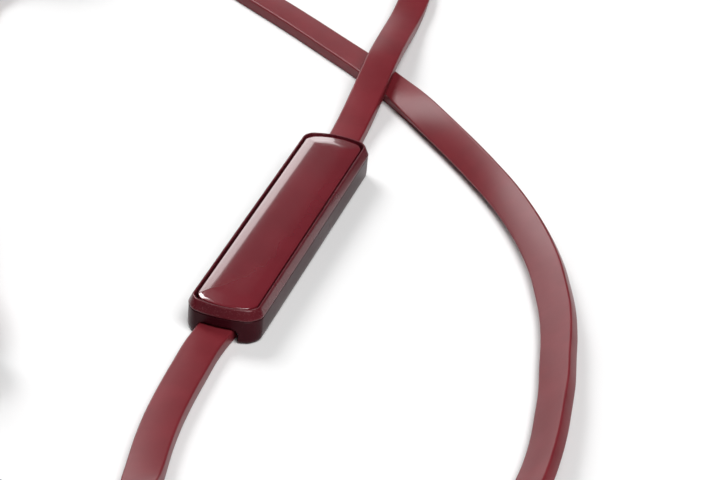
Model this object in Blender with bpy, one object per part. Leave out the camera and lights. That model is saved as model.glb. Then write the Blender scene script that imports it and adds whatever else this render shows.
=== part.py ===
# Wired earphones: two in-ear buds, flat ear cords, inline remote, split, main cord and 3.5 mm plug.
# All driving dimensions are in millimetres; MM turns them into metres.
import bpy
import bmesh
import math
from mathutils import Vector, Matrix

MM = 0.001

# flat cord
CORD_W = 3.3
CORD_T = 1.3
CORD_Z = 0.65
GAP = 0.3

# remote, long axis along Y
REM_HALF_W = 3.56
REM_HALF_L = 18.25
REM_BULGE = 0.75
REM_CORNER = 1.85
REM_TOP = 3.42
BEVEL_LOW = 2.58
REM_SHIFT = (0.22, -0.5)
OPEN_HALF_W = 3.06
OPEN_HALF_L = 17.72
PLATE_HALF_W = 2.86
PLATE_HALF_L = 17.52
PLATE_UNDER = 2.55
PLATE_EDGE = 3.32
PLATE_CROWN = 3.6
NOTCH_HALF_W = 2.05
NOTCH_TOP = 1.6
NOTCH_IN = 15.9

# earbud, nozzle along local +X
BUD_R = 5.5
TIP_R = 6.0
BUD_SEG = 20
RIGHT_BUD = (25.0, -59.9)
LEFT_BUD = (-49.5, 51.6)
RELIEF_DOWN = 20.0

# split
SPLIT_X0 = -6.0
SPLIT_X1 = -18.0
SPLIT_Y = -54.6

# coil
COIL_C = (-39.8, -32.2)
COIL_IN = 12.55
COIL_OUT = 22.15
COIL_OUT_TOP = 17.65
COIL_Z = 0.8
COIL_H = 3.3
TIE_T = 0.5
TIE_W = 3.4
TIE_ANGLES = (5.0, 130.0, 205.0)

# plug, axis along +Y
PLUG_X = -54.0
PLUG_Y = 6.0
PLUG_Z = 3.3
PLUG_R = 3.25
CONTACT_R = 1.75

for old in list(bpy.data.objects):
    bpy.data.objects.remove(old, do_unlink=True)


def material(name, colour, rough, metal=0.0):
    found = bpy.data.materials.get(name)
    if found:
        return found
    made = bpy.data.materials.new(name)
    made.use_nodes = True
    shader = made.node_tree.nodes["Principled BSDF"]
    shader.inputs["Base Color"].default_value = (*colour, 1.0)
    shader.inputs["Roughness"].default_value = rough
    shader.inputs["Metallic"].default_value = metal
    made.diffuse_color = (*colour, 1.0)
    return made


BURGUNDY_GLOSS = ("plate_lacquer", (0.20, 0.03, 0.045), 0.16, 0.35)
BURGUNDY_METAL = ("frame_lacquer", (0.20, 0.03, 0.045), 0.30, 0.55)
BURGUNDY_BODY = ("shell_plastic", (0.10, 0.012, 0.02), 0.38, 0.0)
CORD_MAT = ("cord_rubber", (0.22, 0.03, 0.045), 0.48, 0.0)
RELIEF_MAT = ("relief_rubber", (0.12, 0.015, 0.025), 0.55, 0.0)
TIP_MAT = ("tip_silicone", (0.05, 0.012, 0.016), 0.6, 0.0)
STEEL = ("steel", (0.62, 0.62, 0.64), 0.28, 1.0)
GOLD = ("gold_plate", (0.95, 0.74, 0.36), 0.2, 1.0)
BLACK = ("black_plastic", (0.02, 0.02, 0.022), 0.45, 0.0)
BOARD = ("board", (0.02, 0.12, 0.05), 0.5, 0.0)
MAGNET = ("magnet", (0.35, 0.35, 0.37), 0.3, 1.0)
COPPER = ("copper_wire", (0.80, 0.42, 0.22), 0.35, 1.0)
FILM = ("film", (0.75, 0.72, 0.62), 0.3, 0.0)
TIE_MAT = ("tie_rubber", (0.03, 0.03, 0.032), 0.6, 0.0)


def make_object(name, mesh, mat, matrix=None):
    obj = bpy.data.objects.new(name, mesh)
    bpy.context.scene.collection.objects.link(obj)
    mesh.materials.append(material(*mat))
    if matrix is not None:
        obj.matrix_world = matrix
    return obj


def loft(name, rings, mat, matrix=None, closed=False):
    """Bridge a run of point rings into one closed body, capped at both ends or joined into a ring."""
    bm = bmesh.new()
    made = []
    for ring in rings:
        made.append([bm.verts.new(Vector(p) * MM) for p in ring])
    pairs = list(zip(made[:-1], made[1:]))
    if closed:
        pairs.append((made[-1], made[0]))
    for low, high in pairs:
        count = len(low)
        for i in range(count):
            j = (i + 1) % count
            bm.faces.new((low[i], low[j], high[j], high[i]))
    if not closed:
        bm.faces.new(list(reversed(made[0])))
        bm.faces.new(made[-1])
    bmesh.ops.recalc_face_normals(bm, faces=bm.faces)
    if bm.calc_volume(signed=True) < 0:
        bmesh.ops.reverse_faces(bm, faces=bm.faces)
    mesh = bpy.data.meshes.new(name)
    bm.to_mesh(mesh)
    bm.free()
    return make_object(name, mesh, mat, matrix)


def outline(half_w, half_l, corner, bulge, z):
    """Rounded rectangle whose short ends swell outward by the bulge."""
    pts = []
    steps = 4
    straight = half_l - bulge
    corners = (
        (half_w - corner, straight - corner, 0.0),
        (-half_w + corner, straight - corner, 90.0),
        (-half_w + corner, -straight + corner, 180.0),
        (half_w - corner, -straight + corner, 270.0),
    )
    for k, (cx, cy, start) in enumerate(corners):
        for s in range(steps + 1):
            a = math.radians(start + 90.0 * s / steps)
            pts.append((cx + corner * math.cos(a), cy + corner * math.sin(a)))
        if k in (0, 2):
            side = 1.0 if k == 0 else -1.0
            pts.append((side * (half_w - corner) / 2.5, side * straight))
            pts.append((-side * (half_w - corner) / 2.5, side * straight))
    out = []
    for x, y in pts:
        lift = bulge * (1.0 - (x / half_w) ** 2)
        grow = max(0.0, (abs(y) - (straight - corner)) / corner) ** 0.8
        out.append((x, y + math.copysign(lift * min(grow, 1.0), y), z))
    return out


def circle(r, x, seg=BUD_SEG):
    """Ring of points round the local X axis."""
    return [(x, r * math.cos(2 * math.pi * i / seg), r * math.sin(2 * math.pi * i / seg)) for i in range(seg)]


def turned(name, profile, mat, matrix, closed=False, seg=BUD_SEG):
    return loft(name, [circle(r, x, seg) for x, r in profile], mat, matrix, closed)


def box(name, x0, x1, y0, y1, z0, z1, mat, chamfer=0.0):
    bm = bmesh.new()
    bmesh.ops.create_cube(bm, size=1.0)
    size = Vector((x1 - x0, y1 - y0, z1 - z0)) * MM
    mid = Vector(((x0 + x1) / 2, (y0 + y1) / 2, (z0 + z1) / 2)) * MM
    bmesh.ops.scale(bm, vec=size, verts=bm.verts)
    if chamfer:
        bmesh.ops.bevel(bm, geom=bm.edges[:], offset=chamfer * MM, segments=1, affect="EDGES")
    bmesh.ops.translate(bm, vec=mid, verts=bm.verts)
    mesh = bpy.data.meshes.new(name)
    bm.to_mesh(mesh)
    bm.free()
    return make_object(name, mesh, mat)


def cut(target, cutter):
    cutter.hide_render = True
    cutter.display_type = "WIRE"
    mod = target.modifiers.new("cut", "BOOLEAN")
    mod.operation = "DIFFERENCE"
    mod.solver = "EXACT"
    mod.object = cutter
    bpy.context.view_layer.update()
    graph = bpy.context.evaluated_depsgraph_get()
    mesh = bpy.data.meshes.new_from_object(target.evaluated_get(graph))
    target.modifiers.clear()
    target.data = mesh
    bpy.data.objects.remove(cutter, do_unlink=True)


def origin_to(obj, point):
    """Move the object's origin without moving its surface."""
    shift = Vector(point) * MM
    obj.data.transform(Matrix.Translation(-shift))
    obj.location = shift


# ---------------------------------------------------------------- remote
shell_rings = [
    outline(2.75, 17.45, 1.3, REM_BULGE, 0.0),
    outline(3.15, 17.9, 1.6, REM_BULGE, 0.18),
    outline(3.42, 18.17, 1.8, REM_BULGE, 0.75),
    outline(REM_HALF_W, REM_HALF_L, REM_CORNER, REM_BULGE, 2.32),
    outline(3.06, 17.8, 1.3, REM_BULGE, 2.32),
    outline(3.06, 17.8, 1.3, REM_BULGE, 2.02),
    outline(2.6, 17.2, 1.1, REM_BULGE, 2.02),
    outline(2.6, 17.2, 1.1, REM_BULGE, 0.42),
]
lower_shell = loft("remote_lower_shell", shell_rings, BURGUNDY_BODY)
for sign in (1.0, -1.0):
    ends = sorted((sign * NOTCH_IN, sign * 20.0))
    cutter = box("notch", -NOTCH_HALF_W - REM_SHIFT[0], NOTCH_HALF_W - REM_SHIFT[0], ends[0], ends[1],
                 -1.0, NOTCH_TOP, BLACK)
    cut(lower_shell, cutter)

frame_rings = [
    outline(OPEN_HALF_W, OPEN_HALF_L, 1.25, REM_BULGE, BEVEL_LOW),
    outline(REM_HALF_W, REM_HALF_L, REM_CORNER, REM_BULGE, BEVEL_LOW),
    outline(3.26, 17.92, 1.4, REM_BULGE, REM_TOP - 0.08),
    outline(3.2, 17.86, 1.36, REM_BULGE, REM_TOP),
    outline(OPEN_HALF_W, OPEN_HALF_L, 1.25, REM_BULGE, REM_TOP),
]
loft("remote_upper_frame", frame_rings, BURGUNDY_METAL, closed=True)

plate_rings = [
    outline(PLATE_HALF_W, PLATE_HALF_L, 1.15, REM_BULGE, PLATE_UNDER),
    outline(PLATE_HALF_W, PLATE_HALF_L, 1.15, REM_BULGE, PLATE_EDGE),
    outline(PLATE_HALF_W - 0.25, PLATE_HALF_L - 0.25, 1.0, REM_BULGE, PLATE_EDGE + 0.13),
    outline(PLATE_HALF_W - 1.3, PLATE_HALF_L - 1.6, 0.6, 0.4, PLATE_CROWN),
]
plate = loft("button_plate", plate_rings, BURGUNDY_GLOSS)
origin_to(plate, (0.0, 0.0, PLATE_UNDER))

box("circuit_board", -2.2, 2.2, -12.4, 12.4, 0.66, 0.92, BOARD)
box("switch_body", -1.5, 1.5, -1.5, 1.5, 1.1, 1.76, STEEL, 0.08)
ident = Matrix.Identity(4)
up = Matrix.Rotation(-math.pi / 2, 4, "Y")


def at(x, y, z):
    return Matrix.Translation(Vector((x, y, z)) * MM)


turned("switch_plunger", [(0.0, 0.7), (0.22, 0.7)], BLACK, at(0, 0, 2.1) @ up, seg=16)
turned("mic_capsule", [(0.0, 1.15), (0.62, 1.15)], STEEL, at(0, 9.4, 1.1) @ up, seg=18)
turned("mic_gasket", [(0.0, 1.45), (0.0, 1.95), (0.62, 1.95), (0.62, 1.45)], BLACK,
       at(0, 9.4, 1.1) @ up, closed=True, seg=18)
for i, sign in enumerate((1.0, -1.0)):
    ends = sorted((sign * 12.8, sign * 15.4))
    box("cord_anchor_%d" % (i + 1), -2.2, 2.2, ends[0], ends[1], 0.7, 1.6, BLACK, 0.15)


for part in list(bpy.data.objects):
    part.location.x += REM_SHIFT[0] * MM
    part.location.y += REM_SHIFT[1] * MM


# ---------------------------------------------------------------- earbuds
def earbud(tag, place, heading, relief_side):
    """One in-ear bud lying on its tip and rear rim; heading is the plan angle of the nozzle."""
    lean = math.asin((TIP_R - BUD_R) / 11.0)
    turn = Matrix.Rotation(math.radians(heading), 4, "Z")
    tilt = Matrix.Rotation(-lean, 4, "Y")
    height = BUD_R + 0.16
    base = at(place[0], place[1], height) @ turn @ tilt
    turned(tag + "_rear_housing", [
        (-5.2, 2.2), (-5.0, 3.4), (-4.2, 4.7), (-3.0, 5.35), (-1.6, BUD_R), (-0.15, BUD_R),
        (-0.15, 4.75), (-3.0, 4.5), (-4.0, 3.4), (-4.35, 1.8)], BURGUNDY_BODY, base)
    turned(tag + "_trim_ring", [(0.15, 4.85), (0.15, 5.6), (0.3, 5.68), (0.8, 5.68), (0.95, 5.6), (0.95, 4.85)],
           STEEL, base, closed=True)
    turned(tag + "_front_housing", [
        (1.25, 4.75), (1.25, BUD_R), (2.4, 5.2), (3.9, 4.1), (5.0, 2.7), (5.6, 2.2), (8.3, 2.2), (8.5, 2.5),
        (9.2, 2.5), (9.5, 2.2), (9.5, 1.55), (5.2, 1.55), (3.6, 3.2), (2.2, 4.5)],
        BURGUNDY_GLOSS, base, closed=True)
    turned(tag + "_nozzle_mesh", [(8.9, 1.25), (9.15, 1.25)], STEEL, base, seg=16)
    turned(tag + "_ear_tip", [
        (6.0, 2.9), (6.0, 3.4), (9.6, 3.5), (9.9, 4.2), (8.6, 5.2), (6.9, 5.5), (6.4, 5.7), (6.3, 5.95),
        (7.0, TIP_R), (8.8, 5.7), (10.4, 4.9), (11.4, 3.7), (11.7, 2.9), (11.4, 2.2), (10.3, 1.9),
        (9.9, 2.1), (9.9, 2.9)], TIP_MAT, base, closed=True, seg=22)
    turned(tag + "_driver_yoke", [
        (-2.9, 3.9), (-0.9, 3.9), (-0.9, 3.45), (-2.4, 3.45)], STEEL, base)
    turned(tag + "_driver_magnet", [(-2.1, 2.3), (-1.2, 2.3)], MAGNET, base, seg=16)
    turned(tag + "_pole_plate", [(-0.95, 2.4), (-0.55, 2.4)], STEEL, base, seg=16)
    turned(tag + "_voice_coil", [(-1.3, 2.72), (-1.3, 3.05), (0.1, 3.05), (0.1, 2.72)], COPPER, base, closed=True)
    turned(tag + "_diaphragm", [
        (1.25, 0.3), (1.1, 1.4), (0.5, 2.9), (0.75, 3.7), (0.35, 4.4), (0.35, 4.6), (0.5, 4.6), (0.95, 3.7),
        (0.7, 2.9), (1.3, 1.4), (1.45, 0.3)], FILM, base)
    side = Matrix.Rotation(math.radians(90.0 * relief_side), 4, "Z")
    dip = Matrix.Rotation(math.radians(RELIEF_DOWN), 4, "Y")
    root = at(place[0], place[1], height) @ turn @ at(-2.3, 0, 0) @ side @ dip
    rings = []
    for x, hw, hh in ((5.8, 2.1, 1.75), (6.6, 2.3, 1.9), (8.2, 2.2, 1.6), (10.0, 2.05, 1.25), (11.4, 1.95, 1.05)):
        rings.append([(x, hw * math.copysign(abs(math.cos(a)) ** 0.7, math.cos(a)),
                       hh * math.copysign(abs(math.sin(a)) ** 0.7, math.sin(a)))
                      for a in [2 * math.pi * (k + 0.5) / 16 for k in range(16)]])
    loft(tag + "_strain_relief", rings, RELIEF_MAT, root)
    return root @ Vector((11.4 * MM, 0, 0)), (root.to_3x3() @ Vector((1, 0, 0)))


right_exit, right_dir = earbud("right", RIGHT_BUD, 180.0, -1.0)
left_exit, left_dir = earbud("left", LEFT_BUD, 180.0, 1.0)


# ---------------------------------------------------------------- split
def split_outline(grow, z):
    pts = []
    wide = 4.4 + grow
    slim = 2.7 + grow
    x0 = SPLIT_X0 + grow
    x1 = SPLIT_X1 - grow
    for sx, sy, half in ((x0, 1, wide), (x1, 1, slim), (x1, -1, slim), (x0, -1, wide)):
        inward = -1.0 if sx == x0 else 1.0
        first = (sx + inward * 0.9, SPLIT_Y + sy * half)
        last = (sx, SPLIT_Y + sy * (half - 0.9))
        bend = (sx + inward * 0.26, SPLIT_Y + sy * (half - 0.26))
        run = (last, bend, first) if (sx == x0) == (sy == 1) else (first, bend, last)
        pts.extend((p[0], p[1], z) for p in run)
    return pts


loft("split_lower_shell", [
    split_outline(-0.6, 0.0), split_outline(0.0, 0.6), split_outline(0.0, 1.8),
    split_outline(-0.8, 1.8), split_outline(-0.8, 0.7)], BURGUNDY_BODY)
loft("split_upper_shell", [
    split_outline(-0.8, 2.7), split_outline(-0.8, 2.1), split_outline(0.0, 2.1),
    split_outline(0.0, 2.9), split_outline(-0.7, 3.7)], BURGUNDY_METAL)

# ---------------------------------------------------------------- plug
plug_base = at(PLUG_X, PLUG_Y, PLUG_Z) @ Matrix.Rotation(math.pi / 2, 4, "Z")
rings = []
for x, hw, hh in ((0.0, 1.95, 1.05), (2.5, 2.05, 1.4), (5.0, 2.2, 1.85), (7.0, 2.4, 2.4)):
    rings.append([(x, hw * math.cos(2 * math.pi * k / 16), hh * math.sin(2 * math.pi * k / 16)) for k in range(16)])
loft("plug_strain_relief", rings, RELIEF_MAT, plug_base)
turned("plug_body", [
    (7.3, 2.6), (7.7, 3.0), (8.6, PLUG_R), (18.4, PLUG_R), (19.4, 3.0), (19.9, 2.5)], BURGUNDY_BODY, plug_base)
turned("plug_sleeve_contact", [(20.2, 2.3), (20.7, 2.3), (20.7, CONTACT_R), (24.2, CONTACT_R)], GOLD, plug_base)
spot = 24.4
for i in range(3):
    turned("plug_insulator_%d" % (i + 1), [(spot, 1.62), (spot + 0.5, 1.62)], BLACK, plug_base)
    spot += 0.7
    if i < 2:
        turned("plug_ring_contact_%d" % (i + 1), [(spot, CONTACT_R), (spot + 2.0, CONTACT_R)], GOLD, plug_base)
        spot += 2.2
turned("plug_tip_contact", [
    (spot, CONTACT_R), (spot + 0.8, CONTACT_R), (spot + 1.4, 1.3), (spot + 2.2, 1.75), (spot + 3.4, 1.0),
    (spot + 3.7, 0.35)], GOLD, plug_base)


# ---------------------------------------------------------------- cords
def smooth(points, spacing):
    """Evenly spaced points on a centripetal curve through the route points."""
    route = [Vector(p) for p in points]
    route = [route[0] * 2 - route[1]] + route + [route[-1] * 2 - route[-2]]
    dense = []
    for i in range(1, len(route) - 2):
        p0, p1, p2, p3 = route[i - 1:i + 3]
        t0 = 0.0
        t1 = t0 + (p1 - p0).length ** 0.5
        t2 = t1 + (p2 - p1).length ** 0.5
        t3 = t2 + (p3 - p2).length ** 0.5
        for s in range(12):
            t = t1 + (t2 - t1) * s / 12
            a1 = p0 * ((t1 - t) / (t1 - t0)) + p1 * ((t - t0) / (t1 - t0))
            a2 = p1 * ((t2 - t) / (t2 - t1)) + p2 * ((t - t1) / (t2 - t1))
            a3 = p2 * ((t3 - t) / (t3 - t2)) + p3 * ((t - t2) / (t3 - t2))
            b1 = a1 * ((t2 - t) / (t2 - t0)) + a2 * ((t - t0) / (t2 - t0))
            b2 = a2 * ((t3 - t) / (t3 - t1)) + a3 * ((t - t1) / (t3 - t1))
            dense.append(b1 * ((t2 - t) / (t2 - t1)) + b2 * ((t - t1) / (t2 - t1)))
    dense.append(route[-2])
    total = sum((b - a).length for a, b in zip(dense[:-1], dense[1:]))
    count = max(2, round(total / spacing))
    even = [dense[0]]
    goal = total / count
    walked = 0.0
    for a, b in zip(dense[:-1], dense[1:]):
        step = (b - a).length
        while walked + step >= goal * len(even) and len(even) < count:
            even.append(a + (b - a) * ((goal * len(even) - walked) / step))
        walked += step
    even.append(dense[-1])
    return even


def cord(name, points, tilt=(0.0, 0.0), spacing=4.0, wide=CORD_W):
    """Flat cord: a curve with an extruded, rounded section; tilt runs from first to last in degrees."""
    even = smooth(points, spacing)
    data = bpy.data.curves.new(name, "CURVE")
    data.dimensions = "3D"
    data.twist_mode = "Z_UP"
    data.extrude = (wide - CORD_T) / 2 * MM
    data.bevel_depth = CORD_T / 2 * MM
    data.bevel_resolution = 1
    data.use_fill_caps = True
    spline = data.splines.new("POLY")
    spline.points.add(len(even) - 1)
    for i, p in enumerate(even):
        share = i / (len(even) - 1)
        spline.points[i].co = (*(p * MM), 1.0)
        spline.points[i].tilt = math.radians(tilt[0] + (tilt[1] - tilt[0]) * share)
    data.materials.append(material(*CORD_MAT))
    obj = bpy.data.objects.new(name, data)
    bpy.context.scene.collection.objects.link(obj)
    return obj


def end_point(place, direction, out, floor=0.0):
    """Point this far out along a direction, kept at or above the given height."""
    spot = (place + direction * out * MM) / MM
    return (spot.x, spot.y, max(spot.z, floor))


FLAT = 90.0
Z0 = CORD_Z
over = 2.3
right_in = [end_point(right_exit, right_dir, d, 0.95) for d in (GAP, 4.0)]
right_upper = [
    (0.0, 15.7, Z0), (-0.2, 21.9, Z0), (-0.42, 26.6, 0.95), (-0.6, 31.5, 1.9), (-0.97, 37.4, over),
    (-1.6, 44.1, 1.7), (-2.18, 50.7, 0.85), (-2.83, 57.6, Z0), (-4.4, 62.9, Z0), (-9.0, 66.7, Z0),
    (-16.0, 68.5, Z0), (-23.0, 67.6, Z0), (-27.6, 64.3, Z0), (-28.2, 59.7, Z0), (-25.8, 55.5, Z0),
    (-20.94, 51.4, Z0), (-15.0, 47.3, Z0), (-7.23, 41.7, Z0), (1.16, 35.1, Z0), (7.87, 28.8, Z0),
    (13.8, 22.4, Z0), (18.5, 16.3, Z0), (22.0, 10.9, Z0), (24.7, 5.6, Z0), (27.5, -2.3, Z0),
    (29.2, -10.4, Z0), (30.6, -18.2, Z0), (31.4, -25.8, Z0), (31.6, -33.0, Z0), (30.6, -38.5, Z0),
    (28.6, -43.0, 0.75), right_in[1], right_in[0]]
right_lower = [
    (0.0, -16.7, Z0), (-0.33, -21.3, Z0), (-0.19, -25.5, Z0), (0.03, -29.55, Z0), (0.36, -33.4, Z0),
    (0.86, -37.0, Z0), (1.9, -42.3, Z0), (2.2, -46.8, Z0), (0.6, -50.6, Z0), (-2.6, -52.4, Z0),
    (SPLIT_X0 + GAP, SPLIT_Y + 1.95, Z0)]
cx, cy = COIL_C
left_lead = [
    (SPLIT_X0 + GAP, SPLIT_Y - 2.05, Z0), (-3.0, -56.7, Z0), (0.4, -56.8, Z0), (3.3, -58.0, Z0), (4.5, -61.0, Z0),
    (3.3, -64.0, Z0), (0.4, -65.2, Z0), (-4.0, -65.2, 0.7), (-9.0, -64.6, 0.8), (-16.0, -62.4, 1.7),
    (-22.6, -58.6, 3.2)]
exit_top = (cx + 16.69 * math.cos(math.radians(20.0)), cy + 16.69 * math.sin(math.radians(20.0)))
aim_top = (-math.sin(math.radians(20.0)), math.cos(math.radians(20.0)))
left_in = [end_point(left_exit, left_dir, d, 0.95) for d in (GAP, 4.5)]
left_tail = [
    (exit_top[0] + 17.6 * aim_top[0], exit_top[1] + 17.6 * aim_top[1], 4.7),
    (exit_top[0] + 22.0 * aim_top[0], exit_top[1] + 22.0 * aim_top[1], 3.4),
    (-33.8, -1.0, 1.6), (-37.2, 10.0, 0.72), (-41.2, 20.0, Z0), (-45.0, 29.5, 0.68), left_in[1], left_in[0]]
main_lead = [
    (SPLIT_X1 - GAP, SPLIT_Y, Z0), (-22.0, -54.8, 0.75), (-27.0, -55.2, 1.3), (-32.0, -55.4, 2.1)]
main_tail = [
    (cx - 8.6, cy + 24.1, 1.9), (-52.0, -6.2, 1.9), (-53.8, -1.6, 2.2), (-54.0, 2.4, 2.9),
    (PLUG_X, PLUG_Y - GAP, PLUG_Z)]

cord("right_ear_cord_upper", right_upper, (FLAT, FLAT), 5.0)
cord("right_ear_cord_lower", right_lower, (FLAT, FLAT), 4.0)
cord("left_ear_cord_lead", left_lead, (FLAT, FLAT), 3.6)
cord("left_ear_cord_tail", left_tail, (FLAT, FLAT), 4.0)
cord("main_cord_lead", main_lead, (FLAT, FLAT), 4.0)
cord("main_cord_tail", main_tail, (FLAT, FLAT), 4.0)


def coil_ring(name, inner, outer, z):
    rings = []
    edge = 0.45
    for r, h in ((inner + edge, z), (outer - edge, z), (outer, z + edge), (outer, z + COIL_H - edge),
                 (outer - edge, z + COIL_H), (inner + edge, z + COIL_H), (inner, z + COIL_H - edge),
                 (inner, z + edge)):
        rings.append([(cx + r * math.cos(2 * math.pi * k / 40), cy + r * math.sin(2 * math.pi * k / 40), h)
                      for k in range(40)])
    return loft(name, rings, CORD_MAT, closed=True)


coil_ring("main_cord_coil", COIL_IN, COIL_OUT, COIL_Z)
coil_ring("left_ear_cord_coil", COIL_IN, COIL_OUT_TOP, COIL_Z + COIL_H + GAP)


def tie(name, angle):
    """Rubber band round the cross-section of both coils."""
    top = COIL_Z + 2 * COIL_H + GAP + GAP
    inner = [(COIL_IN - GAP, TIE_T), (COIL_OUT + GAP, TIE_T), (COIL_OUT + GAP, COIL_Z + COIL_H + 0.4),
             (COIL_OUT_TOP + GAP, top), (COIL_IN - GAP, top)]
    outer = [(COIL_IN - GAP - TIE_T, 0.0), (COIL_OUT + GAP + TIE_T, 0.0),
             (COIL_OUT + GAP + TIE_T, COIL_Z + COIL_H + 0.75), (COIL_OUT_TOP + GAP + 0.25, top + TIE_T),
             (COIL_IN - GAP - TIE_T, top + TIE_T)]
    half = TIE_W / 2
    rings = []
    for pts, y in ((outer, -half), (outer, half), (inner, half), (inner, -half)):
        rings.append([(r, y, z) for r, z in pts])
    return loft(name, rings, TIE_MAT, at(cx, cy, 0) @ Matrix.Rotation(math.radians(angle), 4, "Z"), closed=True)


for i, angle in enumerate(TIE_ANGLES):
    tie("coil_tie_%d" % (i + 1), angle)

bpy.context.view_layer.update()
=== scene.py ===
import bpy, bmesh, math
from mathutils import Vector, Matrix


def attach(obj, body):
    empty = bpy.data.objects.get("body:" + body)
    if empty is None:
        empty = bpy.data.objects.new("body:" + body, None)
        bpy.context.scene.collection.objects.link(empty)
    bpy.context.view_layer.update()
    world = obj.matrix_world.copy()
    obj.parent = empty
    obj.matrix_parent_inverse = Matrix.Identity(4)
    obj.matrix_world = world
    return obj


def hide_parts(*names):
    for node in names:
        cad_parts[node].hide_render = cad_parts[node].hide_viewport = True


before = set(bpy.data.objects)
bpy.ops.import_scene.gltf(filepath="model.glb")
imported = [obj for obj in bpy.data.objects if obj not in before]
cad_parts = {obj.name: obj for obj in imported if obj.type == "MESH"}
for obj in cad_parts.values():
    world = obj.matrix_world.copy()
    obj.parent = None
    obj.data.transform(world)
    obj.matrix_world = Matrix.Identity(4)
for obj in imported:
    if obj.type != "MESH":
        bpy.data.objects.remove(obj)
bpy.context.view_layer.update()  # wired earphones: inline remote, flat cords, buds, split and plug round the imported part
mm = 0.001  # all sizes below are in millimetres
scene = bpy.context.scene

view = dict(place=(61.74, -214.08, 129.81), right=(0.9502, 0.3046, 0.0653), up=(-0.2072, 0.4614, 0.8627),
            lens=134.5, sensor=36, shift=0.082, near=0.01, wide=720, tall=480)
camData = bpy.data.cameras.new("camera")
camData.lens = view["lens"]
camData.sensor_width = view["sensor"]
camData.shift_x = view["shift"]
camData.clip_start = view["near"]
cam = bpy.data.objects.new("camera", camData)
scene.collection.objects.link(cam)
sideways = Vector(view["right"]).normalized()
upwards = (Vector(view["up"]) - sideways * sideways.dot(Vector(view["up"]))).normalized()
cam.matrix_world = Matrix.Translation(Vector(view["place"]) * mm) @ Matrix(
    (sideways, upwards, sideways.cross(upwards))).transposed().to_4x4()
scene.camera = cam
scene.render.resolution_x = view["wide"]
scene.render.resolution_y = view["tall"]
print("stage: camera")


class Val:  # one socket, so that shader maths reads as Python
    def __init__(self, tree, socket):
        self.tree = tree
        self.socket = socket

    def maths(self, kind, other, flip=False):
        pair = (other, self) if flip else (self, other)
        return Nodes(self.tree).node("ShaderNodeMath", {"operation": kind}, {0: pair[0], 1: pair[1]})

    def __add__(self, other):
        return self.maths("ADD", other)

    def __radd__(self, other):
        return self.maths("ADD", other, True)

    def __sub__(self, other):
        return self.maths("SUBTRACT", other)

    def __rsub__(self, other):
        return self.maths("SUBTRACT", other, True)

    def __mul__(self, other):
        return self.maths("MULTIPLY", other)

    def __rmul__(self, other):
        return self.maths("MULTIPLY", other, True)

    def __pow__(self, other):
        return self.maths("POWER", other)

    def clamped(self, low, high):
        return self.maths("MAXIMUM", low).maths("MINIMUM", high)


class Nodes:
    def __init__(self, tree):
        self.tree = tree

    def node(self, kind, settings, sockets, out=0):
        made = self.tree.nodes.new(kind)
        for key, value in settings.items():
            setattr(made, key, value)
        for key, value in sockets.items():
            if isinstance(value, Val):
                self.tree.links.new(value.socket, made.inputs[key])
            else:
                made.inputs[key].default_value = value
        return Val(self.tree, made.outputs[out])


class Surface(Nodes):
    def __init__(self, name, constants):
        self.mat = bpy.data.materials.new(name)
        self.mat.use_nodes = True
        super().__init__(self.mat.node_tree)
        self.shader = self.tree.nodes["Principled BSDF"]
        for key, value in constants.items():
            self.shader.inputs[key].default_value = value
        self.where = self.node("ShaderNodeTexCoord", {}, {}, "Object")

    def noise(self, scale, detail, rough=0.55):
        return self.node("ShaderNodeTexNoise", {},
                         {"Vector": self.where, "Scale": scale, "Detail": detail, "Roughness": rough}, "Fac")

    def ramp(self, value, low, high):
        return self.node("ShaderNodeMapRange", {"interpolation_type": "SMOOTHSTEP"},
                         {"Value": value, "From Min": low, "From Max": high})

    def mix(self, factor, first, second):  # 0 is the factor, 6 and 7 are the two colours
        return self.node("ShaderNodeMix", {"data_type": "RGBA"}, {0: factor, 6: first, 7: second}, 2)

    def feed(self, name, value):
        self.tree.links.new(value.socket, self.shader.inputs[name])

    def bump(self, height, strength, distance):
        self.feed("Normal", self.node("ShaderNodeBump", {},
                                      {"Height": height, "Strength": strength, "Distance": distance * mm}))


looks = {}


def surfaceOf(key, base, dark, rough, metal=0.0, coat=0.0, specular=0.5, dust=0.25, grain=None, bump=None):
    made = Surface(key, {"Metallic": metal, "Coat Weight": coat, "Coat Roughness": 0.06,
                         "Specular IOR Level": specular})
    colour = made.mix(made.ramp(made.noise(220.0, 3.0), 0.35, 0.7), (*dark, 1), (*base, 1))
    if grain:  # flakes in the paint
        speck = made.noise(grain["scale"], 1.0, 0.4)
        flakes = made.ramp(speck, grain["low"], grain["high"]) * grain["mix"]
        colour = made.mix(flakes, colour, (*grain["colour"], 1))
        made.bump(speck, grain["bump"], 0.03)
    elif bump:
        made.bump(made.noise(bump["scale"], 4.0), bump["strength"], bump["depth"])
    smear = made.ramp(made.noise(90.0, 5.0, 0.65), 0.3, 0.75)  # handling marks change the gloss
    made.feed("Base Color", colour)
    made.feed("Roughness", (smear * dust * rough + rough * (1 - dust * 0.5)).clamped(0.03, 1.0))
    looks[key] = made.mat


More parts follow.
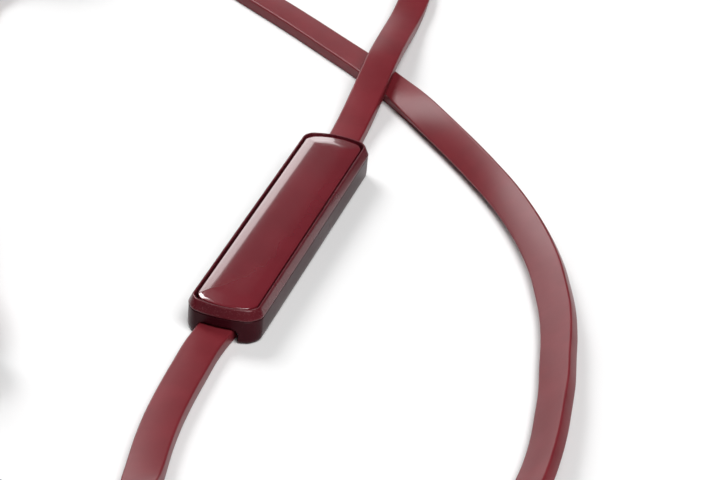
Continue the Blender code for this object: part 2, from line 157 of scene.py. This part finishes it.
surfaceOf("plateLook", (0.155, 0.011, 0.019), (0.135, 0.009, 0.016), 0.20, coat=0.9, dust=0.06)
surfaceOf("frameLook", (0.105, 0.010, 0.016), (0.09, 0.008, 0.014), 0.27, metal=0.10, coat=0.15, specular=0.3,
          grain=dict(colour=(0.45, 0.20, 0.22), scale=9000.0, low=0.58, high=0.8, mix=0.30, bump=0.10))
surfaceOf("shellLook", (0.038, 0.0035, 0.007), (0.031, 0.003, 0.006), 0.30, specular=0.08,
          grain=dict(colour=(0.13, 0.03, 0.04), scale=8000.0, low=0.6, high=0.8, mix=0.2, bump=0.06))
surfaceOf("cordLook", (0.175, 0.018, 0.025), (0.15, 0.015, 0.021), 0.36, specular=0.2, dust=0.2,
          bump=dict(scale=1500.0, strength=0.10, depth=0.03))
surfaceOf("reliefLook", (0.12, 0.013, 0.02), (0.10, 0.010, 0.017), 0.5,
          bump=dict(scale=2200.0, strength=0.2, depth=0.05))
surfaceOf("tipLook", (0.035, 0.010, 0.013), (0.025, 0.007, 0.009), 0.55,
          bump=dict(scale=900.0, strength=0.12, depth=0.05))
surfaceOf("steelLook", (0.62, 0.61, 0.62), (0.5, 0.5, 0.51), 0.24, metal=1.0,
          bump=dict(scale=3000.0, strength=0.08, depth=0.02))
surfaceOf("goldLook", (0.88, 0.66, 0.30), (0.78, 0.56, 0.24), 0.18, metal=1.0,
          bump=dict(scale=2500.0, strength=0.05, depth=0.02))
surfaceOf("blackLook", (0.018, 0.018, 0.02), (0.012, 0.012, 0.013), 0.5,
          bump=dict(scale=2600.0, strength=0.2, depth=0.04))
surfaceOf("boardLook", (0.015, 0.10, 0.04), (0.012, 0.07, 0.03), 0.4)
surfaceOf("magnetLook", (0.4, 0.4, 0.41), (0.33, 0.33, 0.34), 0.25, metal=1.0)
surfaceOf("copperLook", (0.7, 0.33, 0.16), (0.55, 0.25, 0.12), 0.32, metal=1.0,
          bump=dict(scale=4000.0, strength=0.5, depth=0.05))
surfaceOf("filmLook", (0.62, 0.58, 0.48), (0.55, 0.5, 0.42), 0.3)
print("stage: surfaces")


def at(x, y, z):
    return Matrix.Translation(Vector((x, y, z)) * mm)


def turnZ(degrees):
    return Matrix.Rotation(math.radians(degrees), 4, "Z")


def finishMesh(bm, name, look, body, nodes, sharp=40.0):
    bmesh.ops.recalc_face_normals(bm, faces=bm.faces)
    if bm.calc_volume(signed=True) < 0:
        bmesh.ops.reverse_faces(bm, faces=bm.faces)
    for face in bm.faces:
        face.smooth = True
    for edge in bm.edges:
        edge.smooth = not (len(edge.link_faces) == 2 and edge.calc_face_angle() > math.radians(sharp))
    mesh = bpy.data.meshes.new(name)
    bm.to_mesh(mesh)
    bm.free()
    mesh.materials.append(looks[look])
    obj = bpy.data.objects.new(name, mesh)
    scene.collection.objects.link(obj)
    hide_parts(*nodes)
    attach(obj, body)
    return obj


def loftMesh(rings, closed=False, matrix=None):  # rings joined end to end, capped or closed into a loop
    bm = bmesh.new()
    made = []
    for ring in rings:
        pts = [Vector(p) * mm for p in ring]
        made.append([bm.verts.new(matrix @ p if matrix else p) for p in pts])
    pairs = list(zip(made[:-1], made[1:])) + ([(made[-1], made[0])] if closed else [])
    for low, high in pairs:
        for i in range(len(low)):
            j = (i + 1) % len(low)
            bm.faces.new((low[i], low[j], high[j], high[i]))
    if not closed:
        bm.faces.new(list(reversed(made[0])))
        bm.faces.new(made[-1])
    return bm


def rounded(profile, radius, closed, steps=4):  # each corner becomes a short curve
    out = []
    count = len(profile)
    for i, here in enumerate(profile):
        if not closed and i in (0, count - 1):
            out.append(here)
            continue
        before, after, spot = Vector(profile[i - 1]), Vector(profile[(i + 1) % count]), Vector(here)
        reach = min(radius, (before - spot).length * 0.45, (after - spot).length * 0.45)
        first = spot + (before - spot).normalized() * reach
        last = spot + (after - spot).normalized() * reach
        for s in range(steps + 1):
            t = s / steps
            out.append(tuple(first * (1 - t) ** 2 + spot * 2 * t * (1 - t) + last * t ** 2))
    return out


def lathe(name, profile, look, body, matrix, closed, radius, nodes, seg=64):  # turned round local X
    turns = [2 * math.pi * k / seg for k in range(seg)]
    rings = [[(x, r * math.cos(a), r * math.sin(a)) for a in turns]
             for x, r in rounded(profile, radius, closed)]
    return finishMesh(loftMesh(rings, closed, matrix), name, look, body, nodes)


def outline(halfW, halfL, corner, bulge, z):  # rounded rectangle with swelling ends
    pts = []
    straight = halfL - bulge
    inX, inY = halfW - corner, straight - corner
    for cx, cy, start in ((inX, inY, 0), (-inX, inY, 90), (-inX, -inY, 180), (inX, -inY, 270)):
        for s in range(15):
            turn = math.radians(start + 90 * s / 14)
            pts.append((cx + corner * math.cos(turn), cy + corner * math.sin(turn), abs(math.sin(turn))))
        side = 1 if start in (0, 270) else -1
        if start in (0, 180):
            for s in range(1, 9):
                pts.append((side * inX * (1 - 2 * s / 9), side * straight, 1.0))
        else:
            for s in range(1, 12):
                pts.append((side * halfW, side * inY * (s / 6 - 1), 0.0))
    return [(x, y + math.copysign(bulge * (1 - (x / halfW) ** 2) * swell ** 1.5, y), z)
            for x, y, swell in pts]


def between(first, last, start, stop, t):
    return first * ((stop - t) / (stop - start)) + last * ((t - start) / (stop - start))


def smoothLine(route, step=0.7):  # centripetal curve through the route, evenly spaced; w carries the bank
    pts = [Vector(p) for p in route]
    pts = [pts[0] * 2 - pts[1]] + pts + [pts[-1] * 2 - pts[-2]]
    dense = []
    for i in range(1, len(pts) - 2):
        run = pts[i - 1:i + 3]
        knots = [0.0]
        for a, b in zip(run[:-1], run[1:]):
            knots.append(knots[-1] + (b - a).length ** 0.5)
        count = max(4, int((run[2] - run[1]).length / 0.25))
        for s in range(count):
            t = knots[1] + (knots[2] - knots[1]) * s / count
            triple = [between(run[j], run[j + 1], knots[j], knots[j + 1], t) for j in range(3)]
            pair = [between(triple[j], triple[j + 1], knots[j], knots[j + 2], t) for j in range(2)]
            dense.append(between(pair[0], pair[1], knots[1], knots[2], t))
    dense.append(pts[-2])
    total = sum((b.xyz - a.xyz).length for a, b in zip(dense[:-1], dense[1:]))
    count = round(total / step)
    even, walked = [dense[0]], 0.0
    for a, b in zip(dense[:-1], dense[1:]):
        length = (b.xyz - a.xyz).length
        while length and walked + length >= total / count * len(even) and len(even) < count:
            even.append(a.lerp(b, (total / count * len(even) - walked) / length))
        walked += length
    even.append(dense[-1])
    return even, total


cordShape = dict(width=3.3, thick=1.3, fillet=0.2)


def cordSection():
    halfW, halfT, fillet = cordShape["width"] / 2, cordShape["thick"] / 2, cordShape["fillet"]
    pts = []
    inX, inY = halfW - fillet, halfT - fillet
    for cx, cy, start in ((inX, inY, 0), (-inX, inY, 90), (-inX, -inY, 180), (inX, -inY, 270)):
        for s in range(5):
            turn = math.radians(start + 22.5 * s)
            pts.append((cx + fillet * math.cos(turn), cy + fillet * math.sin(turn)))
    return pts


def flatCord(name, route, nodes):
    even, total = smoothLine(route)
    section = cordSection()
    rings, centres = [], []
    for i, spot in enumerate(even):
        ahead = (even[min(i + 1, len(even) - 1)].xyz - even[max(i - 1, 0)].xyz).normalized()
        level = Vector((-ahead.y, ahead.x, 0)).normalized()
        over = ahead.cross(level)
        bank = math.radians(spot.w)
        wide = level * math.cos(bank) + over * math.sin(bank)
        thick = ahead.cross(wide)
        rings.append([tuple(spot.xyz + wide * a + thick * b) for a, b in section])
        centres.append(tuple(spot.xyz * mm))
    obj = finishMesh(loftMesh(rings), name, "cordLook", "earphones", nodes, 60)
    total * mm
    print("cord", name, round(total))


def lie(x, y, bank):  # a banked cord's centre stands this high when its lower edge is on the surface
    lean = math.radians(abs(bank))
    halfW, halfT = cordShape["width"] / 2, cordShape["thick"] / 2
    return (x, y, halfW * math.sin(lean) + halfT * math.cos(lean) - 0.1 * math.sin(2 * lean), bank)


coil = dict(x=-39.8, y=-32.2, inner=13.2, outer=21.5, outerTop=17.0, pitch=2.8, low=2.45, high=6.05, step=18)


def onCoil(radius, degrees, z, bank):
    turn = math.radians(degrees)
    return (coil["x"] + radius * math.cos(turn), coil["y"] + radius * math.sin(turn), z, bank)


def coilRun(startAngle, outer, z, bank, endTrim=0.0):  # spirals in, round an S in the middle, and out again
    turn = (outer - coil["inner"]) / coil["pitch"] * 360
    steps = int(turn / coil["step"])
    run = [onCoil(outer - (outer - coil["inner"]) * s / steps, startAngle - turn * s / steps, z, bank)
           for s in range(steps + 1)]
    bendAngle = startAngle - turn
    half = coil["inner"] / 2
    for side, count in ((1, 6), (-1, 5)):
        cx = coil["x"] + side * half * math.cos(math.radians(bendAngle))
        cy = coil["y"] + side * half * math.sin(math.radians(bendAngle))
        for s in range(1, count + 1):
            swing = math.radians(bendAngle - side * 30 * s)
            run.append((cx + half * math.cos(swing), cy + half * math.sin(swing), z, bank))
    trimmed = turn - endTrim
    count = int(trimmed / coil["step"])
    for s in range(count + 1):
        radius = coil["inner"] + coil["pitch"] * trimmed / 360 * s / count
        run.append(onCoil(radius, bendAngle + 180 + trimmed * s / count, z, bank))
    return run


rightUpper = [
    (-0.05, 15.5, 0.68, 0), (-0.2, 21.9, 0.72, 0), (-0.42, 26.6, 1.0, 0), (-0.6, 31.5, 1.85, 2),
    (-0.97, 37.4, 2.45, 5), (-1.6, 44.1, 1.75, 3), (-2.18, 50.7, 0.95, 4), (-2.83, 57.6, 1.0, 12)]
rightUpper += [lie(*p) for p in (
    (-4.6, 63.0, 45), (-9.2, 67.0, 72), (-16.0, 68.8, 80), (-23.0, 67.8, 80), (-27.8, 64.4, 76),
    (-28.5, 59.7, 55), (-25.8, 55.6, 24), (-20.90, 51.24, 3), (-14.97, 47.14, 3), (-11.72, 44.84, 3),
    (-7.19, 41.49, 4), (-2.8, 38.18, 6), (1.29, 34.49, 12), (5.0, 30.6, 28), (8.25, 27.0, 40),
    (11.0, 24.0, 45), (14.2, 20.4, 44), (18.85, 14.7, 37), (22.3, 9.4, 34), (25.0, 4.2, 33),
    (26.6, 0.2, 33), (28.0, -3.8, 34), (29.1, -8.0, 36), (29.95, -12.1, 38), (30.8, -16.2, 40),
    (31.4, -20.2, 42), (31.9, -24.0, 42), (32.2, -28.0, 40), (32.1, -33.0, 32), (30.8, -38.5, 20),
    (28.9, -42.8, 8))]
rightUpper += [(27.65, -46.3, 1.1, 0), (27.3, -48.9, 1.82, 0)]
rightLower = [
    (-0.05, -16.4, 0.68, 0), (-0.33, -21.3, 0.68, 0), (-0.19, -25.5, 0.68, 1), (0.03, -29.55, 0.7, 2),
    (0.36, -33.4, 0.72, 3), (0.86, -37.0, 0.78, 4), lie(1.85, -42.3, 9), lie(2.2, -46.6, 38),
    lie(0.6, -50.4, 45), lie(-2.6, -52.4, 20), (-6.6, -52.65, 0.85, 0)]
leaveAngle, leaveRadius = 20.0, 16.69  # where the left cord leaves its coil, and then runs straight on
leaveX, leaveY = onCoil(leaveRadius, leaveAngle, 0, 0)[:2]
aheadX, aheadY = -math.sin(math.radians(leaveAngle)), math.cos(math.radians(leaveAngle))
leftCord = [(-6.6, -56.65, 0.85, 0)]
leftCord += [lie(*p) for p in (
    (-3.0, -56.7, -28), (0.4, -56.8, -58), (3.3, -58.0, -72), (4.5, -61.0, -80), (3.3, -64.0, -82),
    (0.4, -65.2, -83), (-4.0, -65.2, -85))]
leftCord += [(-9.0, -64.7, 1.9, -90), (-16.0, -61.9, 2.7, -90), (-22.8, -58.4, 4.0, -90),
             (-30.2, -54.7, 5.4, -90), (-39.0, -50.4, 6.0, -90)]
leftCord += coilRun(-120, coil["outerTop"], coil["high"], -90, 40)
leftCord += [(leaveX + d * aheadX, leaveY + d * aheadY, z, bank) for d, z, bank in (
    (6.0, 6.0, -90), (12.0, 5.6, -86), (18.0, 4.3, -78), (23.0, 3.0, -62))]
leftCord += [lie(-33.8, -1.0, -40), lie(-35.6, 5.0, -18), (-37.6, 11.0, 0.65, 0), (-41.3, 20.0, 0.65, 0),
             (-45.0, 29.5, 0.68, 0), (-47.0, 36.5, 1.05, 0), (-47.2, 40.6, 1.82, 0)]
mainCord = [(-17.4, -54.6, 0.85, 0), (-21.5, -54.7, 1.2, 20), (-26.0, -54.9, 1.9, 55),
            (-31.0, -54.9, 2.35, 80), (-36.0, -54.4, 2.45, 90)]
mainCord += coilRun(-90, coil["outer"], coil["low"], 90)
mainCord += [(-45.0, -10.1, 2.35, 84), (-49.6, -8.4, 2.3, 66), (-52.7, -4.8, 2.2, 40), (-53.9, 0.0, 2.45, 14),
             (-54.0, 3.6, 3.0, 0), (-54.0, 6.4, 3.3, 0)]
flatCord("rightCordUpper", rightUpper, ["right_ear_cord_upper"])  # in truth one open loop
flatCord("rightCordLower", rightLower, ["right_ear_cord_lower"])
flatCord("leftCord", leftCord, ["left_ear_cord_lead", "left_ear_cord_coil", "left_ear_cord_tail"])
flatCord("mainCord", mainCord, ["main_cord_lead", "main_cord_coil", "main_cord_tail"])
print("stage: cords")


remote = dict(
    place=(0.22, -0.5, 0), halfW=3.56, halfL=18.3, corner=1.15, bulge=0.75,
    frame=[(0.51, 2.35), (0.51, 3.42), (0.35, 3.42), (0.28, 3.31), (-0.03, 2.61), (-0.03, 2.5), (0.2, 2.35)],
    shell=[(0.5, 0.0), (0.32, 0.02), (0.17, 0.1), (0.07, 0.26), (0.02, 0.5), (0.0, 1.0), (0.0, 2.34),
           (0.06, 2.42), (0.44, 2.42), (0.44, 2.02), (0.9, 2.02), (0.9, 0.42)],
    plate=[(0.74, 2.55), (0.72, 2.6), (0.72, 3.26), (0.735, 3.31), (0.78, 3.335), (1.1, 3.415), (1.4, 3.49),
           (1.7, 3.56), (1.95, 3.60), (2.3, 3.625), (2.65, 3.64), (2.96, 3.645)],
    plateHalfL=18.24, plateCorner=1.5, crownFrom=1.2,
    arch=[(-2.0, -1.0), (2.0, -1.0), (2.0, 1.1), (1.75, 1.42), (1.3, 1.6), (-1.3, 1.6), (-1.75, 1.42),
          (-2.0, 1.1)],
    archIn=15.85, archOut=20.0)


def remoteRings(profile):  # each profile point is an inset from the side wall and a height
    return [outline(remote["halfW"] - inset, remote["halfL"] - inset, max(0.5, remote["corner"] - inset),
                    remote["bulge"], z) for inset, z in profile]


def plateRing(inset, z):  # the crown pulls in faster at the ends than at the sides
    crown = inset >= remote["crownFrom"]
    bulge = max(0.2, remote["bulge"] - (inset - remote["crownFrom"]) * 0.4) if crown else remote["bulge"]
    return outline(remote["halfW"] - inset, remote["plateHalfL"] - inset * (1.25 if crown else 1.0),
                   max(0.2, remote["plateCorner"] - inset), bulge, z)


def cutArch(target, side):  # low arched slot that the cord leaves by
    ends = (remote["archIn"] + side * remote["place"][1], remote["archOut"])
    cutMesh = loftMesh([[(x, side * y, z) for x, z in remote["arch"]] for y in ends])
    bmesh.ops.recalc_face_normals(cutMesh, faces=cutMesh.faces)
    data = bpy.data.meshes.new("notch")
    cutMesh.to_mesh(data)
    cutMesh.free()
    cutter = bpy.data.objects.new("notch", data)
    scene.collection.objects.link(cutter)
    cut = target.modifiers.new("notch", "BOOLEAN")
    cut.solver = "EXACT"
    cut.object = cutter
    bpy.context.view_layer.update()
    made = bpy.data.meshes.new_from_object(target.evaluated_get(bpy.context.evaluated_depsgraph_get()))
    target.modifiers.clear()
    target.data = made
    bpy.data.objects.remove(cutter)


remotePlace = at(*remote["place"])
finishMesh(loftMesh(remoteRings(rounded(remote["frame"], 0.05, True, 3)), True, remotePlace), "remoteFrame",
           "frameLook", "earphones", ["remote_upper_frame"], 30)
shell = finishMesh(loftMesh(remoteRings(remote["shell"]), False, remotePlace), "remoteShell", "shellLook",
                   "earphones", ["remote_lower_shell"], 35)
cutArch(shell, 1)
cutArch(shell, -1)
finishMesh(loftMesh([plateRing(*p) for p in remote["plate"]], False, remotePlace), "buttonPlate", "plateLook",
           "plate", ["button_plate"], 50)
print("stage: remote")


bud = dict(
    high=5.66, lean=math.asin(0.5 / 11),
    rear=[(-5.2, 0.05), (-5.2, 2.2), (-5.0, 3.4), (-4.2, 4.7), (-3.0, 5.35), (-1.6, 5.5), (-0.05, 5.5),
          (-0.05, 4.75), (-3.0, 4.5), (-4.0, 3.4), (-4.35, 1.8), (-4.35, 0.05)],
    ring=[(0.0, 4.85), (0.0, 5.6), (0.3, 5.68), (0.8, 5.68), (1.1, 5.6), (1.1, 4.85)],
    front=[(1.15, 4.75), (1.15, 5.5), (2.4, 5.2), (3.9, 4.1), (5.0, 2.7), (5.6, 2.2), (8.3, 2.2), (8.5, 2.5),
           (9.2, 2.5), (9.5, 2.2), (9.5, 1.55), (5.2, 1.55), (3.6, 3.2), (2.2, 4.5)],
    tip=[(6.0, 2.9), (6.0, 3.4), (9.6, 3.5), (9.9, 4.2), (8.6, 5.2), (6.9, 5.5), (6.4, 5.7), (6.3, 5.95),
         (7.0, 6.0), (8.8, 5.7), (10.4, 4.9), (11.4, 3.7), (11.7, 2.9), (11.4, 2.2), (10.3, 1.9), (9.9, 2.1),
         (9.9, 2.9)],
    reliefBack=-2.3, reliefDip=20, reliefFrom=5.4, reliefLong=6.0, reliefSteps=28)


def grooveAt(s, first, last, depth):  # two steps in every four are cut in, between the first and the last
    return depth if first <= s <= last and s % 4 in (2, 3) else 0.0


def squarish(value):
    return math.copysign(abs(value) ** 0.7, value)


def budRelief(tag, root):
    rings = []
    for s in range(bud["reliefSteps"] + 1):
        t = s / bud["reliefSteps"]
        groove = grooveAt(s, 6, 24, 0.18)
        along = bud["reliefFrom"] + bud["reliefLong"] * t
        halfW, halfH = 2.25 - 0.3 * t - groove, 1.85 - 0.8 * t
        rings.append([(along, halfW * squarish(math.cos(a)), (halfH - groove * 0.6) * squarish(math.sin(a)))
                      for a in [2 * math.pi * (k + 0.5) / 40 for k in range(40)]])
    finishMesh(loftMesh(rings, False, root), tag + "Relief", "reliefLook", "earphones",
               [tag + "_strain_relief"])


def earbud(tag, x, y, heading, reliefSide):
    middle = at(x, y, bud["high"]) @ turnZ(heading)
    base = middle @ Matrix.Rotation(-bud["lean"], 4, "Y")
    lathe(tag + "RearHousing", bud["rear"], "shellLook", "earphones", base, False, 0.9,
          [tag + "_rear_housing"])
    lathe(tag + "TrimRing", bud["ring"], "steelLook", "earphones", base, True, 0.08, [tag + "_trim_ring"])
    lathe(tag + "FrontHousing", bud["front"], "plateLook", "earphones", base, True, 0.5,
          [tag + "_front_housing"])
    lathe(tag + "EarTip", bud["tip"], "tipLook", tag + "_tip", base, True, 0.6, [tag + "_ear_tip"])
    budRelief(tag, middle @ at(bud["reliefBack"], 0, 0) @ turnZ(90 * reliefSide) @ Matrix.Rotation(
        math.radians(bud["reliefDip"]), 4, "Y"))


earbud("right", 25.0, -59.9, 180, -1)
earbud("left", -49.5, 51.6, 180, 1)
print("stage: buds")


split = dict(
    y=-54.6, wideX=-6, slimX=-18, wide=4.4, slim=2.7, corner=1.1,
    lower=[(-0.7, 0), (-0.35, 0.08), (-0.1, 0.35), (0, 0.8), (0, 1.85), (-0.06, 1.92), (-0.8, 1.92)],
    upper=[(-0.8, 1.98), (-0.06, 1.98), (0, 2.05), (0, 2.8), (-0.1, 3.2), (-0.4, 3.55), (-0.9, 3.7),
           (-2.0, 3.78)])


def splitOutline(grow, z):  # tapered plan with round corners; grow moves every side out
    wide = (split["wideX"] + grow, split["wide"] + grow, -1)
    slim = (split["slimX"] - grow, split["slim"] + grow, 1)
    pts = []
    for (sx, half, inward), sy in ((wide, 1), (slim, 1), (slim, -1), (wide, -1)):
        along = (sx + inward * split["corner"], sy * half)
        across = (sx, sy * (half - split["corner"]))
        first, last = (across, along) if inward * sy < 0 else (along, across)
        for s in range(7):
            t = s / 6
            x = first[0] * (1 - t) ** 2 + sx * 2 * t * (1 - t) + last[0] * t ** 2
            y = first[1] * (1 - t) ** 2 + sy * half * 2 * t * (1 - t) + last[1] * t ** 2
            pts.append((x, split["y"] + y, z))
    return pts


finishMesh(loftMesh([splitOutline(*p) for p in split["lower"]]), "splitLower", "shellLook", "earphones",
           ["split_lower_shell"])
finishMesh(loftMesh([splitOutline(*p) for p in split["upper"]]), "splitUpper", "frameLook", "earphones",
           ["split_upper_shell"])


plug = dict(
    place=(-54, 6, 3.3), reliefLong=7.2, reliefSteps=32,
    body=[(7.1, 0.1), (7.1, 2.6), (7.7, 3.0), (8.6, 3.25), (11.0, 3.25), (11.2, 3.12), (11.5, 3.12),
          (11.7, 3.25), (18.4, 3.25), (19.4, 3.0), (20.05, 2.5), (20.05, 0.1)],
    sleeve=[(20.1, 0.1), (20.1, 2.3), (20.7, 2.3), (20.7, 1.75), (24.35, 1.75), (24.35, 0.1)],
    tip=[(0, 0.1), (0, 1.75), (0.8, 1.75), (1.4, 1.3), (2.2, 1.75), (3.4, 1.0), (3.7, 0.35), (3.75, 0.05)],
    bandsFrom=24.4, band=0.7, ringStep=2.2, core=0.1, contact=1.75, bandRadius=1.71)


def tube(first, last, radius):
    return [(first, plug["core"]), (first, radius), (last, radius), (last, plug["core"])]


plugBase = at(*plug["place"]) @ Matrix.Rotation(math.pi / 2, 4, "Z")
rings = []
for s in range(plug["reliefSteps"] + 1):
    t = s / plug["reliefSteps"]
    groove = grooveAt(s, 4, 28, 0.16)
    rings.append([(plug["reliefLong"] * t, (2.0 + 0.45 * t ** 2 - groove) * math.cos(2 * math.pi * k / 40),
                   (1.15 + 1.3 * t - groove) * math.sin(2 * math.pi * k / 40)) for k in range(40)])
finishMesh(loftMesh(rings, False, plugBase), "plugRelief", "reliefLook", "earphones", ["plug_strain_relief"])
lathe("plugBody", plug["body"], "shellLook", "earphones", plugBase, False, 0.3, ["plug_body"])
lathe("plugSleeve", plug["sleeve"], "goldLook", "earphones", plugBase, False, 0.08, ["plug_sleeve_contact"])
spot = plug["bandsFrom"]
for i in (1, 2, 3):
    lathe(f"plugInsulator{i}", tube(spot - 0.04, spot + 0.64, plug["bandRadius"]), "blackLook", "earphones",
          plugBase, False, 0.03, [f"plug_insulator_{i}"])
    spot += plug["band"]
    if i < 3:
        lathe(f"plugRing{i}", tube(spot - 0.04, spot + 2.1, plug["contact"]), "goldLook", "earphones",
              plugBase, False, 0.05, [f"plug_ring_contact_{i}"])
        spot += plug["ringStep"]
lathe("plugTip", [(spot + x, r) for x, r in plug["tip"]], "goldLook", "earphones", plugBase, False, 0.3,
      ["plug_tip_contact"])


tie = dict(
    half=1.65, angles=(5, 130, 205),
    inside=[(12.25, 0.5), (22.45, 0.5), (22.45, 4.5), (17.95, 8.0), (12.25, 8.0)],
    outside=[(11.75, 0.0), (22.95, 0.0), (22.95, 4.85), (18.2, 8.5), (11.75, 8.5)])
inside = rounded(tie["inside"], 0.5, True, 5)
outside = rounded(tie["outside"], 0.9, True, 5)
for i, angle in enumerate(tie["angles"], 1):
    rings = [[(r, y, z) for r, z in pts] for pts, y in (
        (outside, -tie["half"]), (outside, tie["half"]), (inside, tie["half"]), (inside, -tie["half"]))]
    finishMesh(loftMesh(rings, True, at(coil["x"], coil["y"], 0) @ turnZ(angle)), f"coilTie{i}", "blackLook",
               "earphones", [f"coil_tie_{i}"])
print("stage: split, plug, ties")


carriedOver = {"circuit_board": "boardLook", "switch_body": "steelLook", "switch_plunger": "blackLook",
               "mic_capsule": "steelLook", "mic_gasket": "blackLook", "cord_anchor_1": "blackLook",
               "cord_anchor_2": "blackLook"}  # CAD nodes that keep their own shape
for tag in ("right", "left"):
    for part, look in (("nozzle_mesh", "steelLook"), ("driver_yoke", "steelLook"),
                       ("pole_plate", "steelLook"), ("driver_magnet", "magnetLook"),
                       ("voice_coil", "copperLook"), ("diaphragm", "filmLook")):
        carriedOver[f"{tag}_{part}"] = look
for name, look in carriedOver.items():
    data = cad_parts[name].data
    data.materials.clear()
    data.materials.append(looks[look])
print("stage: carried over")


floorLook = Surface("floorLook", {"Roughness": 0.75})
soft = floorLook.ramp(floorLook.noise(14.0, 4.0), 0.3, 0.7)
floorLook.feed("Base Color", floorLook.mix(soft, (0.80, 0.80, 0.80, 1), (0.83, 0.83, 0.83, 1)))
floorHalf = 3  # metres
mesh = bpy.data.meshes.new("floor")
mesh.from_pydata([(x * floorHalf, y * floorHalf, 0) for x, y in ((-1, -1), (1, -1), (1, 1), (-1, 1))], [],
                 [(0, 1, 2, 3)])
mesh.materials.append(floorLook.mat)
floor = bpy.data.objects.new("floor", mesh)
scene.collection.objects.link(floor)

world = bpy.data.worlds.new("room")
scene.world = world
world.use_nodes = True
room = Nodes(world.node_tree)
where = room.node("ShaderNodeTexCoord", {}, {}, "Generated")
leftness = room.node("ShaderNodeSeparateXYZ", {}, {"Vector": where}, "X") * -0.5 + 0.5
back = room.tree.nodes["Background"]
room.tree.links.new((leftness ** 2.0 * 0.14 + 0.035).socket, back.inputs["Strength"])
back.inputs["Color"].default_value = (1, 1, 1, 1)
lights = dict(key=((-0.50, 0.40, 0.56), 0.34, 0.34, 4.6), panel=((-0.56, 0.78, 0.245), 0.80, 0.28, 1.5),
              overhead=((0.35, -0.35, 0.80), 0.60, 0.60, 9.0))  # place, width, height, in metres, and watts
for name, (place, wide, tall, power) in lights.items():
    data = bpy.data.lights.new(name, "AREA")
    data.shape = "RECTANGLE"
    data.size = wide
    data.size_y = tall
    data.energy = power
    lamp = bpy.data.objects.new(name, data)
    lamp.location = place
    lamp.rotation_euler = (-Vector(place)).to_track_quat("-Z", "Y").to_euler()
    scene.collection.objects.link(lamp)
scene.view_settings.view_transform = "Standard"
print("stage: floor and light")
